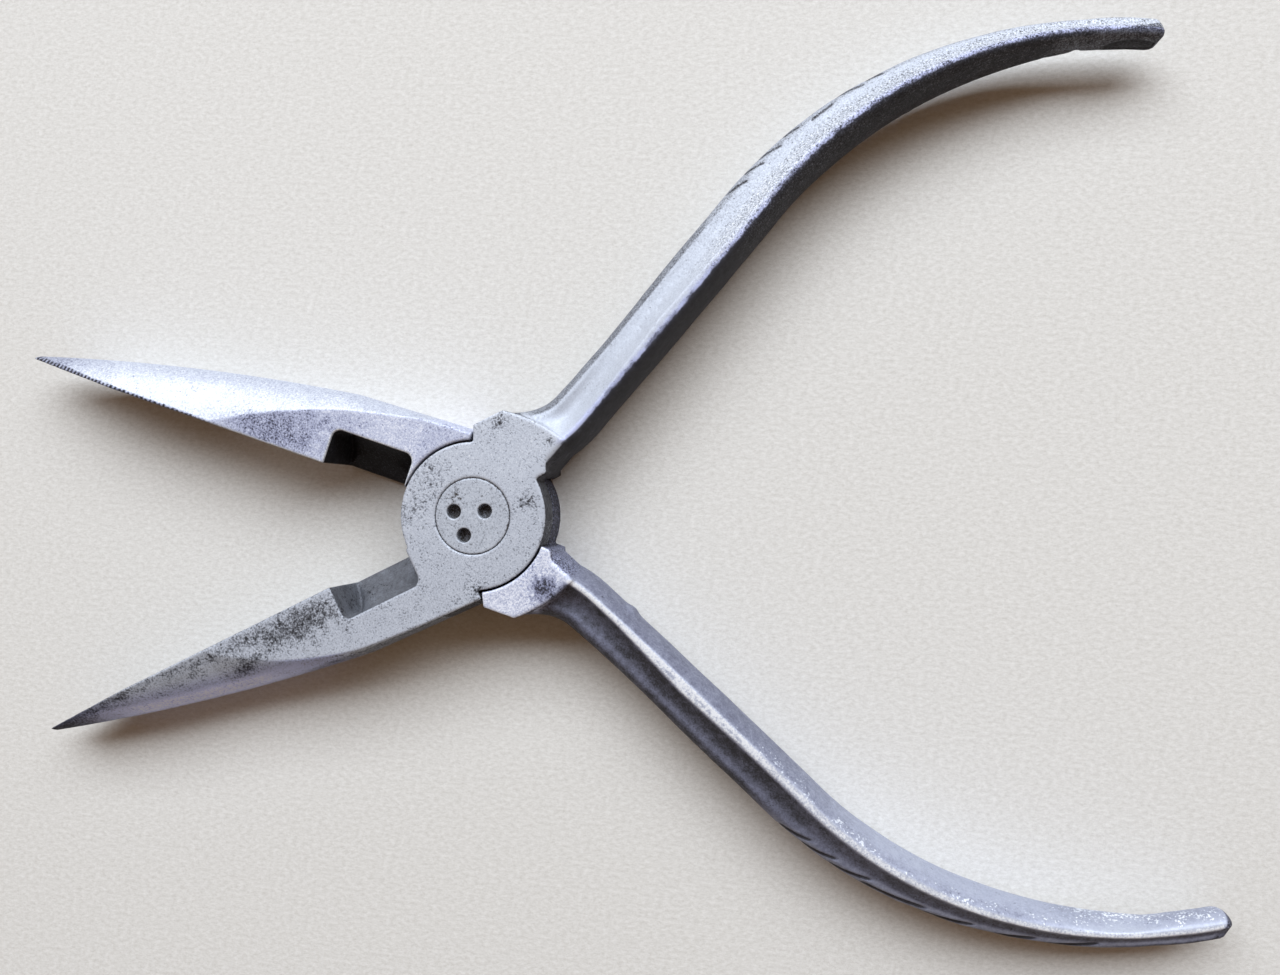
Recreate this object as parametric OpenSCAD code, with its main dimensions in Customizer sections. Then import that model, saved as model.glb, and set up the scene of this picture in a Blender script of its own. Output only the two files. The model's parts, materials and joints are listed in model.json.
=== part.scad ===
// Long nose pliers with side cutters: two forged levers on a lap joint, held by one flush pivot pin.
// The pivot axis is Z at the origin, the nose points along -X, and the back face lies on z = 0.
// Each lever is drawn closed, with its jaw below the centreline and its handle above it.

/* [Joint] */
// Thickness of the joint, from back face to front face
joint_t = 9.5; // [8:0.1:12]
// Diameter of the round half-thickness disc of each lever
disc_d = 18.3; // [17:0.1:19.5]
// Radial gap between a disc and the recess that it turns in
recess_gap = 0.25; // [0.15:0.05:0.4]
// Gap between the two lapped faces
lap_gap = 0.08; // [0.04:0.02:0.2]
// Width over the closed joint
joint_w = 20.2; // [19.8:0.1:21.5]
// Angle between the gripping faces when fully open
open_angle = 44.5; // [40:0.5:46]
// Free angle left between the stops when fully open
stop_free = 1; // [0.5:0.5:2]
// Direction of the step on the handle side, measured from the closed centreline
stop_dir = 64; // [60:1:66]

/* [Nose] */
// Pivot centre to the tip of the nose
nose_l = 65.1; // [56:0.1:76]
// Width of one jaw at its tip
tip_w = 0.6; // [0.4:0.1:1.2]
// Thickness of the nose at its tip
tip_t = 2.6; // [2:0.1:4]
// Outward bow of the side of the nose over a straight taper
nose_bow = 0.9; // [0.4:0.1:1.4]
// Half width of the closed nose where it meets the cutters
cutter_w = 9.6; // [8.8:0.1:9.8]
// Width of the eased edge beside the joint
root_edge = 0.5; // [0.3:0.1:1]
// Distance from the pivot where the outer edge of a jaw starts to round over
round_start = 10.5; // [8:0.5:14]
// Growth of the rounded edge for each millimetre towards the tip
edge_growth = 0.18; // [0.14:0.01:0.22]
// Slope of the rounded edge where it leaves the flat of the jaw
crease = 24; // [0:1:40]
// Gap that stays between the closed gripping faces
face_gap = 0.1; // [0.06:0.02:0.2]

/* [Teeth] */
// Distance from one tooth to the next
tooth_pitch = 0.65; // [0.6:0.05:1.2]
// Depth of the grooves between the teeth
tooth_depth = 0.22; // [0.16:0.02:0.3]
// Width of the flat land on each tooth
tooth_land = 0.12; // [0.08:0.02:0.2]
// Plain length at each end of the toothed face
tooth_margin = 1.2; // [0.8:0.1:2]

/* [Side cutters] */
// Distance from the pivot to the nose end of the cutter pocket
pocket_far = 20.4; // [18:0.1:24]
// Distance from the pivot to the joint end of the cutter pocket
pocket_near = 9.5; // [9.3:0.1:11]
// Width of the pocket in one jaw, at the front face
pocket_w = 4.7; // [4:0.1:5.5]
// Radius of the corners of the pocket
pocket_r = 1.1; // [0.6:0.1:1.5]
// Height of the knife edge above the back face
knife_z = 0.9; // [0.6:0.1:1.6]
// Angle between the knife's face and the cutting plane
knife_angle = 40; // [32:1:48]
// Width of the knife's face, from its edge to the scooped wall
knife_w = 3.6; // [2:0.1:3.8]
// Radius of the scoop between the knife's face and the pocket wall
scoop_r = 6; // [5:0.5:10]

/* [Handles] */
// Reach of the shoulder from the pivot centre, along its step
shoulder_r = 13.4; // [12.8:0.1:14.2]
// How far behind the pivot the shoulder's round end has its centre
shoulder_back = 4.6; // [3:0.1:5.6]
// Half gap between the closed shoulders at the crotch
crotch_gap = 0.7; // [0.4:0.1:1.2]
// Angle of the straight part of a handle from the closed centreline
handle_angle = 23.4; // [20:0.1:25]
// Distance at which the straight part's middle line passes the pivot
handle_offset = 0.8; // [0.4:0.1:1.2]
// Length of the straight part of a handle, from the pivot
straight_l = 52; // [46:1:60]
// Radius of the bow of a handle, on its middle line
bow_r = 53; // [44:1:70]
// Length of the bowed part of a handle
bow_l = 53.2; // [46:0.1:58]
// Extra width on the outer side of the neck, where a handle leaves its shoulder
neck_flare = 3.4; // [2.4:0.1:3.8]
// Inset of the inner side of the neck
neck_inset = 1; // [0.8:0.1:1.4]
// Distance from the pivot at which the neck has run out into the handle
neck_end = 18; // [17:0.5:22]
// Distance from the pivot at which the hollow rise up to the shoulder starts
rise_end = 17; // [15.5:0.5:18]
// Width of the eased inner edge of the shoulder
shoulder_ease = 1.2; // [0.8:0.1:1.6]
// Width of a handle along its straight part
handle_w = 7; // [6.4:0.1:7.4]
// Width of a handle where its bow starts to taper
bow_w = 6.1; // [5.4:0.1:6.6]
// Thickness of a handle at its crest, near the joint
handle_t = 8.6; // [7.6:0.1:9.2]
// Thickness of a handle at its crest, near the end
end_t = 4.4; // [3.8:0.1:5.6]
// Share of the width and thickness left on the blunt end face of a handle
end_face = 0.45; // [0.3:0.05:0.6]
// Width of the waist before the end of a handle
waist_w = 3.3; // [2.8:0.1:4]
// Width of the oval lobe at the end of a handle
lobe_w = 3.5; // [3:0.1:4.4]
// Length of the oval lobe at the end of a handle
lobe_l = 9; // [7:0.5:12]
// How far the waist and the lobe are set outwards from the middle line
lobe_set = 0.5; // [0.2:0.1:0.8]
// Distance of the crest line from the inner side of a handle
crest_in = 1.5; // [1.1:0.1:1.9]
// Width of the crest
crest_w = 0.8; // [0.5:0.1:1]
// Share by which the crest line has moved outwards at the end
crest_drift = 0.6; // [0:0.1:0.8]
// Width of the rounded grip face outside the flute
grip_face_w = 1.7; // [1.4:0.1:2]
// Share of the crest's height that is left at the edge of the grip face
grip_face_rise = 0.62; // [0.5:0.02:0.75]
// Depth of the hollow flute between the crest and the grip face
flute_d = 0.3; // [0:0.05:0.4]

/* [Pivot pin] */
// Diameter of the flush head
head_d = 9.4; // [8.6:0.1:10.2]
// Height of the head
head_h = 2.2; // [1.6:0.1:2.8]
// Clearance all round the head in its seat
head_gap = 0.06; // [0.04:0.01:0.12]
// Diameter of the shank
shank_d = 6; // [5:0.1:7]
// Radial clearance of the shank in the front lever, which holds it
seat_gap = 0.02; // [0.01:0.01:0.04]
// Radial clearance of the shank in the back lever
run_gap = 0.05; // [0.03:0.01:0.08]
// Diameter of the riveted tail at the back face
tail_d = 8; // [7.6:0.1:8.8]
// Height of the riveted tail
tail_h = 1.2; // [0.8:0.1:1.6]
// Clearance all round the tail in its countersink
tail_gap = 0.1; // [0.06:0.02:0.16]
// Diameter of the three blind holes in the head
hole_d = 1.8; // [1.4:0.1:2]
// Depth of the three blind holes
hole_depth = 1.5; // [1:0.1:1.6]

/* [Hidden] */
$fn = 96;
half_t = joint_t / 2;
disc_r = disc_d / 2;
recess_r = disc_r + recess_gap;
swing = open_angle / 2;
// The jaw's end face meets the other lever's step when the pliers are fully open
jaw_stop_dir = -(stop_dir + open_angle + stop_free);
jaw_end_x = (joint_w / 2) * cos(jaw_stop_dir);
jaw_l = nose_l + jaw_end_x;
taper_l = nose_l - pocket_far;
face_y = face_gap / 2;
tooth_count = floor((nose_l - pocket_far - 2 * tooth_margin) / tooth_pitch);
// Centres of the three holes from the centre of the head
hole_spots = [[-2.3, 0.7], [1.6, 0.5], [-1.2, -2.3]];
// How far the lofts, cuts and roots run, and how finely the lofts are stepped
jaw_stations = 22;
tip_crowding = 1.25;
edge_steps = 7;
neck_steps = 9;
bow_stations = 20;
root_lap = 1;
neck_start = recess_r + 0.6;
neck_full = recess_r + 2.6;
neck_t = joint_t - 0.1;
shoulder_ease_h = half_t - 1;
crotch_x = recess_r + 1.2;
handle_l = straight_l + bow_l;
bow_full_l = bow_l * 0.28;
end_round = 1.2;
past = 1;
handle_stations = [
    for (i = [0:neck_steps]) neck_start + (neck_end - neck_start) * i / neck_steps,
    for (i = [1:3]) neck_end + (straight_l - neck_end) * i / 4,
    for (i = [0:bow_stations]) straight_l + (bow_l - end_round) * i / bow_stations];

// A closed solid through rings of points that all have the same count
module loft(rings) {
    n = len(rings[0]);
    last = len(rings) - 1;
    sides = [for (i = [0:last - 1], j = [0:n - 1], k = [0:1])
        let (a = i * n + j, b = i * n + (j + 1) % n)
        k == 0 ? [a, b, a + n] : [b, b + n, a + n]];
    first_cap = [for (j = [1:n - 2]) [0, j + 1, j]];
    last_cap = [for (j = [1:n - 2]) [last * n, last * n + j, last * n + j + 1]];
    polyhedron([for (r = rings) each r], concat(sides, first_cap, last_cap));
}

// Half width of the closed nose, s millimetres from the tip
function jaw_w(s) =
    let (u = s / taper_l)
    u < 1
        ? tip_w + (cutter_w - tip_w) * u + 4 * nose_bow * u * (1 - u)
        : cutter_w + (joint_w / 2 - cutter_w) * (s - taper_l) / (jaw_l - taper_l);

// Half thickness of the nose, s millimetres from the tip
function jaw_t(s) = min(half_t, jaw_w(s) + (tip_t / 2 - tip_w) * (1 - s / jaw_l));

// Width of the rounded edge, s millimetres from the tip
function jaw_edge(s) =
    min(jaw_w(s) - face_y - face_gap, max(root_edge, edge_growth * (nose_l - s - round_start)));

// One cross section of a jaw: a flat gripping face, flat front and back, and a rounded outer edge
function jaw_ring(s) =
    let (x = s - nose_l, w = jaw_w(s), t = jaw_t(s), e = jaw_edge(s))
    concat(
        [[x, -face_y, -t]],
        [for (i = [0:2 * edge_steps])
            let (
                k = i / edge_steps - 1,
                a = 90 - abs(k) * (90 - crease),
                out = (sin(a) - sin(crease)) / (1 - sin(crease)))
            [x, -(w - e) - e * out, sign(k) * t * cos(a) / cos(crease)]],
        [[x, -face_y, t]]);

// The jaw is turned away inside its own disc, and clears the other lever's disc
module jaw_blank() {
    difference() {
        loft([for (i = [0:jaw_stations]) jaw_ring(jaw_l * pow(i / jaw_stations, tip_crowding))]);
        jaw_stop_cut();
        rotate_extrude()
            polygon([
                [0, -joint_t],
                [recess_r, -joint_t],
                [recess_r, lap_gap / 2],
                [disc_r - root_lap, lap_gap / 2],
                [disc_r - root_lap, joint_t],
                [0, joint_t]]);
    }
}

// Squares the end of the jaw off along the radial line where it stops
module jaw_stop_cut() {
    rotate([0, 0, jaw_stop_dir])
        translate([0, 0, -joint_t])
            cube([nose_l, nose_l, 2 * joint_t]);
}

// V grooves across the gripping face, with a narrow worn land left on each tooth
module teeth_cut() {
    slope = 2 * tooth_depth / (tooth_pitch - tooth_land);
    overcut = slope * tooth_land / 3;
    half_groove = (tooth_depth + overcut) / slope;
    translate([0, 0, -joint_t])
        linear_extrude(2 * joint_t)
            for (i = [0:tooth_count - 1])
                translate([-nose_l + tooth_margin + (i + 0.5) * tooth_pitch, -face_y - tooth_depth])
                    polygon([
                        [0, 0],
                        [half_groove, tooth_depth + overcut],
                        [-half_groove, tooth_depth + overcut]]);
}

// The pocket's outline at the front face, with rounded corners
module pocket_outline() {
    x0 = -pocket_far;
    x1 = -pocket_near;
    y0 = -pocket_w;
    union() {
        translate([x0, y0 + pocket_r])
            square([x1 - x0, pocket_w - pocket_r + past]);
        translate([x0 + pocket_r, y0])
            square([x1 - x0 - 2 * pocket_r, pocket_r + past]);
        for (x = [x0 + pocket_r, x1 - pocket_r])
            translate([x, y0 + pocket_r])
                circle(pocket_r);
    }
}

// The pocket's section: the knife's face rises from its edge, then a round scoop meets the front face
module pocket_section() {
    edge = [-face_y, knife_z - half_t];
    face_end = edge + knife_w * [-sin(knife_angle), cos(knife_angle)];
    wall_top = [-pocket_w, half_t];
    chord = wall_top - face_end;
    scoop_depth = sqrt(pow(scoop_r, 2) - pow(norm(chord) / 2, 2));
    centre = (face_end + wall_top) / 2 + scoop_depth * [chord[1], -chord[0]] / norm(chord);
    polygon([
        [past, edge[1]],
        edge,
        face_end,
        wall_top,
        wall_top + [0, past],
        [past, half_t + past]]);
    intersection() {
        translate(centre)
            circle(scoop_r);
        translate([wall_top[0] - scoop_r, face_end[1]])
            square([2 * scoop_r, chord[1]]);
    }
}

module cutter_pocket() {
    intersection() {
        translate([0, 0, -half_t])
            linear_extrude(joint_t + past)
                pocket_outline();
        translate([-pocket_far - past, 0, 0])
            rotate([90, 0, 90])
                linear_extrude(pocket_far - pocket_near + 2 * past)
                    pocket_section();
    }
}

// Relief ground at 45 degrees behind the knife edge, on the back face
module knife_relief() {
    edge = [-face_y, knife_z - half_t];
    translate([-pocket_far, 0, 0])
        rotate([90, 0, 90])
            linear_extrude(pocket_far)
                polygon([
                    edge,
                    edge - (knife_z + past) * [1, 1],
                    [past, -half_t - past],
                    [past, edge[1]]]);
}

// Middle line of a handle: straight, then bowed back towards the centreline
function spine_dir(s) = handle_angle - max(0, s - straight_l) / bow_r * 180 / PI;
function spine_point(s) =
    let (
        run = min(s, straight_l),
        a = spine_dir(s),
        start = handle_offset * [sin(handle_angle), -cos(handle_angle)])
    start + run * [cos(handle_angle), sin(handle_angle)]
        + (s > straight_l
            ? bow_r * [sin(handle_angle) - sin(a), cos(a) - cos(handle_angle)]
            : [0, 0]);

// Width of a handle, s millimetres along its middle line: even, then tapered to the waist and lobe
function handle_width(s) =
    let (full_end = straight_l + bow_full_l, waist = handle_l - lobe_l)
    s < straight_l ? handle_w
    : s < full_end ? handle_w + (bow_w - handle_w) * (s - straight_l) / bow_full_l
    : s < waist ? bow_w + (waist_w - bow_w) * (s - full_end) / (waist - full_end)
    : waist_w + (lobe_w - waist_w) * sin(180 * min(1, (s - waist) / (lobe_l - end_round)));

// Share of a handle's bow that lies behind, from its start to the waist
function bow_share(s) = min(1, max(0, s - straight_l) / (bow_l - lobe_l));

// Thickness of a handle at its crest
function handle_thick(s) = handle_t - (handle_t - end_t) * pow(bow_share(s), 3);

// Shares of the flare and of the rise to the shoulder that are left, s millimetres along the middle line
function neck_share(s) = pow(min(1, max(0, (neck_end - s) / (neck_end - neck_full))), 2.2);
function rise_share(s) = pow(min(1, max(0, (rise_end - s) / (rise_end - neck_full))), 2);

// Upper half of a handle's section, from the inner side to the outer side
function handle_profile(w, t, drift, rise) =
    let (
        h = t / 2,
        k_w = min(1, w / handle_w),
        c0 = crest_in * k_w * (1 + crest_drift * drift),
        c1 = c0 + crest_w * k_w,
        g0 = w - grip_face_w * k_w,
        g_h = h * (grip_face_rise + (1 - grip_face_rise) * rise))
    concat(
        [for (a = [0, 30, 60]) [-w / 2 + c0 * (1 - cos(a)), h * sin(a)]],
        [[-w / 2 + c0, h], [-w / 2 + c1, h]],
        [for (k = [0.33, 0.67])
            [-w / 2 + c1 + (g0 - c1) * k, h + (g_h - h) * k - flute_d * k_w * (1 - rise) * sin(180 * k)]],
        [for (a = [0, 30, 60, 90]) [-w / 2 + g0 + (w - g0) * sin(a), g_h * cos(a)]]);

function handle_ring(s, shrink) =
    let (
        w = handle_width(s) * shrink,
        t = handle_thick(s) * shrink,
        flare = neck_flare * neck_share(s),
        inset = neck_inset * neck_share(s),
        rise = rise_share(s),
        half = handle_profile(w + flare - inset, t + (neck_t - t) * rise, bow_share(s), rise),
        shift = (flare + inset) / 2 + lobe_set * pow(bow_share(s), 3),
        n = len(half),
        p = spine_point(s),
        a = spine_dir(s),
        side = [-sin(a), cos(a)],
        all_round = concat(half, [for (i = [n - 2:-1:1]) [half[i][0], -half[i][1]]]))
    [for (q = all_round) [p[0] + side[0] * (q[0] + shift), p[1] + side[1] * (q[0] + shift), q[1]]];

// The last rings round the handle off to a small blunt end face
module handle_blank() {
    loft(concat(
        [for (s = handle_stations) handle_ring(s, 1)],
        [for (a = [30:30:90])
            handle_ring(handle_l - end_round * (1 - sin(a)), end_face + (1 - end_face) * cos(a))]));
}

// Shoulder that joins a handle to its disc: its radial side is the open stop, its end is round
module shoulder_outline() {
    reach = shoulder_r + shoulder_back;
    intersection() {
        translate(-shoulder_back * [cos(stop_dir), sin(stop_dir)])
            circle(reach);
        polygon([
            [0, 0],
            joint_w / 2 / sin(stop_dir) * [cos(stop_dir), sin(stop_dir)],
            [reach, joint_w / 2],
            [reach, crotch_gap + (reach - crotch_x) * tan(handle_angle)],
            [crotch_x, crotch_gap],
            [0, crotch_gap]]);
    }
}

// Eases the shoulder's inner edge from the crotch on, on the upper side, into the inner side of the handle
module shoulder_ease_cut() {
    reach = shoulder_r + shoulder_back;
    rings = [for (a = [15:15:90])
        let (
            i = shoulder_ease * (1 - cos(a)),
            z = half_t - shoulder_ease_h * (1 - sin(a)))
        [[0, -past, z], [0, 0, z], [i, i, z], [reach, i, z], [reach, -past, z]]];
    top = [for (q = rings[len(rings) - 1]) [q[0], q[1], half_t + past]];
    translate([crotch_x, crotch_gap, 0])
        rotate([0, 0, handle_angle])
            loft(concat(rings, [top]));
}

// The lever's own disc on one half of the thickness, and the recess for the other disc under it
module joint_plate() {
    difference() {
        union() {
            translate([0, 0, lap_gap / 2])
                linear_extrude(half_t - lap_gap / 2)
                    union() {
                        circle(disc_r);
                        shoulder_outline();
                    }
            translate([0, 0, -half_t])
                linear_extrude(half_t + lap_gap / 2)
                    difference() {
                        shoulder_outline();
                        circle(recess_r);
                    }
        }
        shoulder_ease_cut();
        mirror([0, 0, 1])
            shoulder_ease_cut();
    }
}

// A whole lever: cutter_side is 1 when the cutter pocket opens on the face of its own disc, else -1.
// The children are the seats cut through its disc for the pivot pin.
module lever(cutter_side) {
    difference() {
        jaw_blank();
        teeth_cut();
        mirror([0, 0, cutter_side > 0 ? 0 : 1]) {
            cutter_pocket();
            knife_relief();
        }
    }
    difference() {
        joint_plate();
        children();
    }
    handle_blank();
}

module front_lever() {
    color("lightslategray")
        translate([0, 0, half_t])
            rotate([0, 0, swing])
                lever(1)
                    union() {
                        cylinder(h = 2 * joint_t, r = shank_d / 2 + seat_gap, center = true);
                        translate([0, 0, half_t - head_h])
                            cylinder(h = head_h + past, r = head_d / 2 + head_gap);
                    }
}

module back_lever() {
    color("silver")
        translate([0, 0, half_t])
            rotate([180, 0, -swing])
                lever(-1)
                    union() {
                        cylinder(h = 2 * joint_t, r = shank_d / 2 + run_gap, center = true);
                        translate([0, 0, half_t - tail_h])
                            cylinder(h = tail_h, r1 = shank_d / 2 + tail_gap, r2 = tail_d / 2 + tail_gap);
                    }
}

module pivot_pin() {
    color("gainsboro")
        difference() {
            union() {
                translate([0, 0, joint_t - head_h])
                    cylinder(h = head_h, r = head_d / 2);
                cylinder(h = joint_t - head_h / 2, r = shank_d / 2);
                cylinder(h = tail_h, r1 = tail_d / 2, r2 = shank_d / 2);
            }
            for (spot = hole_spots)
                translate([spot[0], spot[1], joint_t - hole_depth])
                    cylinder(h = hole_depth + past, r = hole_d / 2);
        }
}

front_lever();
back_lever();
pivot_pin();
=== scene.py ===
import itertools
import json
import math
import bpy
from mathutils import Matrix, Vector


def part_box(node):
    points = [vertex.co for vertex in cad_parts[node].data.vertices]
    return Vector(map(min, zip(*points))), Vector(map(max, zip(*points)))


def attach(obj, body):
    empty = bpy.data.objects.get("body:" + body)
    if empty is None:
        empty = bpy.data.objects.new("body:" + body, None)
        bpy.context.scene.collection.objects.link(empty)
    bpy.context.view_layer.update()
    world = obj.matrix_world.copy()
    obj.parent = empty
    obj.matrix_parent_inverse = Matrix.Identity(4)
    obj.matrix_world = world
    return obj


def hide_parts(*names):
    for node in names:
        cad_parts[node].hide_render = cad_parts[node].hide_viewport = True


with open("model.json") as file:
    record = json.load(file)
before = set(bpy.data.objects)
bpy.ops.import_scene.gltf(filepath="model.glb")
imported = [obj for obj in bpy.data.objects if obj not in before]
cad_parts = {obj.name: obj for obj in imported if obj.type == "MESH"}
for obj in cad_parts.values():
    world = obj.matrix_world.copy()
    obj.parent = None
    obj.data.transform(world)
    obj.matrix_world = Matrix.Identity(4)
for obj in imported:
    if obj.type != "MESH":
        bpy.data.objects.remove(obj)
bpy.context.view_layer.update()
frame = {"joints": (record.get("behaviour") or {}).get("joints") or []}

from types import SimpleNamespace

import bpy
import numpy as np
from mathutils import Euler

# Front lever
# One drop forging in carbon steel: the lower left jaw, the front half of the lap joint and the upper right
# handle. The joint, the flats and the cutter are ground, the rest is left as forged and worn satin by hands.

# Both levers are shaped closed and in millimetres, with the pin at the origin and the jaws towards -X
MM = 0.001
joint_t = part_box("pivot_pin")[1].z / MM
half_t = joint_t / 2
swing = math.radians(frame["joints"][0]["range_deg"][1] / 2)

# How far a cutting tool reaches past what it cuts
past = 1


def solid(name, *stacks):
    """A closed mesh in millimetres through each stack of rings, capped at both ends."""
    points, faces = [], []
    for rings in stacks:
        rings = np.asarray(rings, float)
        rows, around = rings.shape[:2]
        first = sum(len(p) for p in points)
        row = first + np.arange(rows - 1)[:, None] * around
        a, b = row + np.arange(around), row + (np.arange(around) + 1) % around
        faces += np.stack([a, b, b + around, a + around], axis=-1).reshape(-1, 4).tolist()
        faces += [list(range(first, first + around))[::-1]]
        faces += [list(range(first + (rows - 1) * around, first + rows * around))]
        points.append(rings.reshape(-1, 3))
    mesh = bpy.data.meshes.new(name)
    mesh.from_pydata(np.concatenate(points).tolist(), [], faces)
    volume = sum(f.center.dot(f.normal) * f.area for f in mesh.polygons)
    if volume < 0:
        mesh.flip_normals()
    piece = bpy.data.objects.new(name, mesh)
    bpy.context.scene.collection.objects.link(piece)
    return piece


def slab(name, outline, z0, z1):
    """An outline in X and Y, carried from one height to another."""
    flat = np.asarray(outline, float)
    return solid(name, [np.c_[flat, np.full(len(flat), z)] for z in (z0, z1)])


def ring_line(radius, count=256):
    """A circle about the origin, in X and Y."""
    turn = np.linspace(0, 2 * math.pi, count, endpoint=False)
    return np.c_[radius * np.cos(turn), radius * np.sin(turn)]


def settle(piece):
    """Turns a piece's modifiers into plain mesh."""
    held = bpy.context.evaluated_depsgraph_get()
    held.update()
    old = piece.data
    new = bpy.data.meshes.new_from_object(piece.evaluated_get(held))
    new.materials.clear()
    piece.modifiers.clear()
    piece.data = new
    bpy.data.meshes.remove(old)


def work(piece, tool, how="DIFFERENCE"):
    """Cuts a tool away from a piece, joins it on, or keeps what they share."""
    change = piece.modifiers.new("work", "BOOLEAN")
    change.operation = how
    change.solver = "MANIFOLD"
    change.object = tool
    settle(piece)
    bpy.data.objects.remove(tool)
    return piece


# The nose: flat inside, flat front and back, with an outer side that rounds over more towards the tip
nose_l, nose_bow = 65.1, 0.9
joint_w, cutter_w = 20.2, 9.6
tip_w, tip_t = 0.6, 2.6
root_edge, face_y = 0.5, 0.05
crease = math.radians(24)
jaw_ribs, jaw_sections, section_crowd = 25, 160, 1.15

# The jaw ends in a slanted stop, which meets the other lever's shoulder when the pliers are wide open
stop_dir, stop_gap = math.radians(64), math.radians(1)
jaw_stop = -(stop_dir + 2 * swing + stop_gap)
jaw_l = nose_l + joint_w / 2 * math.cos(jaw_stop)

# The cutter's pocket and its knife, whose face is ground with a small round wheel
pocket_far, pocket_near, pocket_w, pocket_r = 20.4, 9.5, 4.7, 1.1
knife_z, knife_angle, knife_face_l = 0.9, math.radians(40), 0.3
scoop_r = 6
wheel_x, wheel_r, wheel_reach = -15.4, 5.8, 2.9
taper_l = nose_l - pocket_far

# The teeth, worn to depths and openings between these shares of their full size
tooth_pitch, tooth_depth, tooth_margin = 0.65, 0.22, 1.2
tooth_depth_left, tooth_opening = (0.6, 1.1), (0.36, 0.5)

# Each jaw was dressed by hand to its own bevel: how far from the pin it starts, its slope and its curl
bevel_by_side = {1: (12, 0.03, 0.00026), -1: (10, 0.17, 0.0001)}


def jaw_half_width(s):
    """How far the jaw reaches out from the gripping face, s millimetres from its tip."""
    u = s / taper_l
    tapered = tip_w + (cutter_w - tip_w) * u + 4 * nose_bow * u * (1 - u)
    rooted = cutter_w + (joint_w / 2 - cutter_w) * (s - taper_l) / (jaw_l - taper_l)
    return np.where(u < 1, tapered, rooted)


def jaw_ring(s, side):
    """One section of the jaw, s millimetres from its tip."""
    w = float(jaw_half_width(s))
    t = min(half_t, w + (tip_t / 2 - tip_w) * (1 - s / jaw_l))
    start, slope, curl = bevel_by_side[side]
    out = max(0, nose_l - s - start)
    bevel = slope * out + curl * out ** 3
    e = min(w - 3 * face_y, root_edge + bevel)
    across = np.linspace(-1, 1, jaw_ribs)
    lean = math.pi / 2 - np.abs(across) * (math.pi / 2 - crease)
    y = -(w - e) - e * (np.sin(lean) - math.sin(crease)) / (1 - math.sin(crease))
    z = np.sign(across) * t * np.cos(lean) / math.cos(crease)
    outer = np.c_[np.full(jaw_ribs, s - nose_l), y, z]
    return np.concatenate([[[s - nose_l, -face_y, -t]], outer, [[s - nose_l, -face_y, t]]])


def tooth_grooves(seed):
    """V grooves across the gripping face, each worn to its own depth."""
    draw = np.random.default_rng(seed)
    top = past / 4 - face_y
    stacks = []
    for x in np.arange(-nose_l + tooth_margin, -pocket_far - tooth_margin, tooth_pitch):
        deep = tooth_depth * draw.uniform(*tooth_depth_left)
        wide = tooth_pitch * draw.uniform(*tooth_opening)
        wedge = [[x, -face_y - deep], [x + wide, top], [x - wide, top]]
        stacks.append([[[*p, z] for p in wedge] for z in (-joint_t, joint_t)])
    return solid("tooth_grooves", *stacks)


def pocket_ring(x):
    """The cutter pocket's section: knife face, scooped wall, then out through the front face."""
    ground = math.sqrt(max(0, wheel_r ** 2 - (x - wheel_x) ** 2)) + wheel_reach - wheel_r
    reach = max(knife_face_l, ground) / math.sin(knife_angle)
    edge = np.array([-face_y, knife_z - half_t])
    face_end = edge + reach * np.array([-math.sin(knife_angle), math.cos(knife_angle)])
    wall_top = np.array([-pocket_w, half_t])
    chord = wall_top - face_end
    half_chord = np.hypot(*chord) / 2
    across = np.array([-chord[1], chord[0]]) / np.hypot(*chord)
    k = np.linspace(-1, 1, 13)[:, None]
    sag = np.sqrt(scoop_r ** 2 - (half_chord * k) ** 2) - math.sqrt(scoop_r ** 2 - half_chord ** 2)
    scoop = (face_end + wall_top) / 2 + chord * k / 2 + across * sag
    flat = np.concatenate([[[past, edge[1]], edge], scoop, [wall_top + [0, past], [past, half_t + past]]])
    return np.c_[np.full(len(flat), x), flat]


def pocket_tool():
    """The whole pocket, with its two round corners."""
    corner = ring_line(pocket_r, 64)
    wall = pocket_r - pocket_w
    near_side = corner + [-pocket_near - pocket_r, wall]
    far_side = corner + [-pocket_far + pocket_r, wall]
    outline = np.concatenate([
        [[-pocket_far, past], [-pocket_far, wall]],
        far_side[33:48], near_side[48:64],
        [[-pocket_near, wall], [-pocket_near, past]]])
    mouth = slab("pocket_mouth", outline, -half_t, half_t + 2 * past)
    stations = np.linspace(-pocket_far - past, -pocket_near + past, 25)
    return work(mouth, solid("pocket_section", [pocket_ring(x) for x in stations]), "INTERSECT")


def knife_relief_tool():
    """What is ground off behind the knife, at 45 degrees."""
    edge = np.array([-face_y, knife_z - half_t])
    flat = [edge, edge - (knife_z + past), [past, -half_t - past], [past, edge[1]]]
    return solid("knife_relief", [[[x, *p] for p in flat] for x in (-pocket_far, 0)])


def flip(tool, side):
    """Turns a cutting tool over for the lever that lies on its other face."""
    if side < 0:
        for v in tool.data.vertices:
            v.co.z = -v.co.z
        tool.data.flip_normals()
    return tool


# The joint: a disc of half the thickness, a recess for the other disc, and a shoulder whose step is the stop
disc_r = 18.3 / 2
recess_r = disc_r + 0.25
lap_gap = 0.08
shoulder_r, shoulder_back = 13.4, 4.6
ease_r, ease_edge = 1.2, 1
crotch_gap, crotch_x = 0.7, recess_r + 1.2


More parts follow.
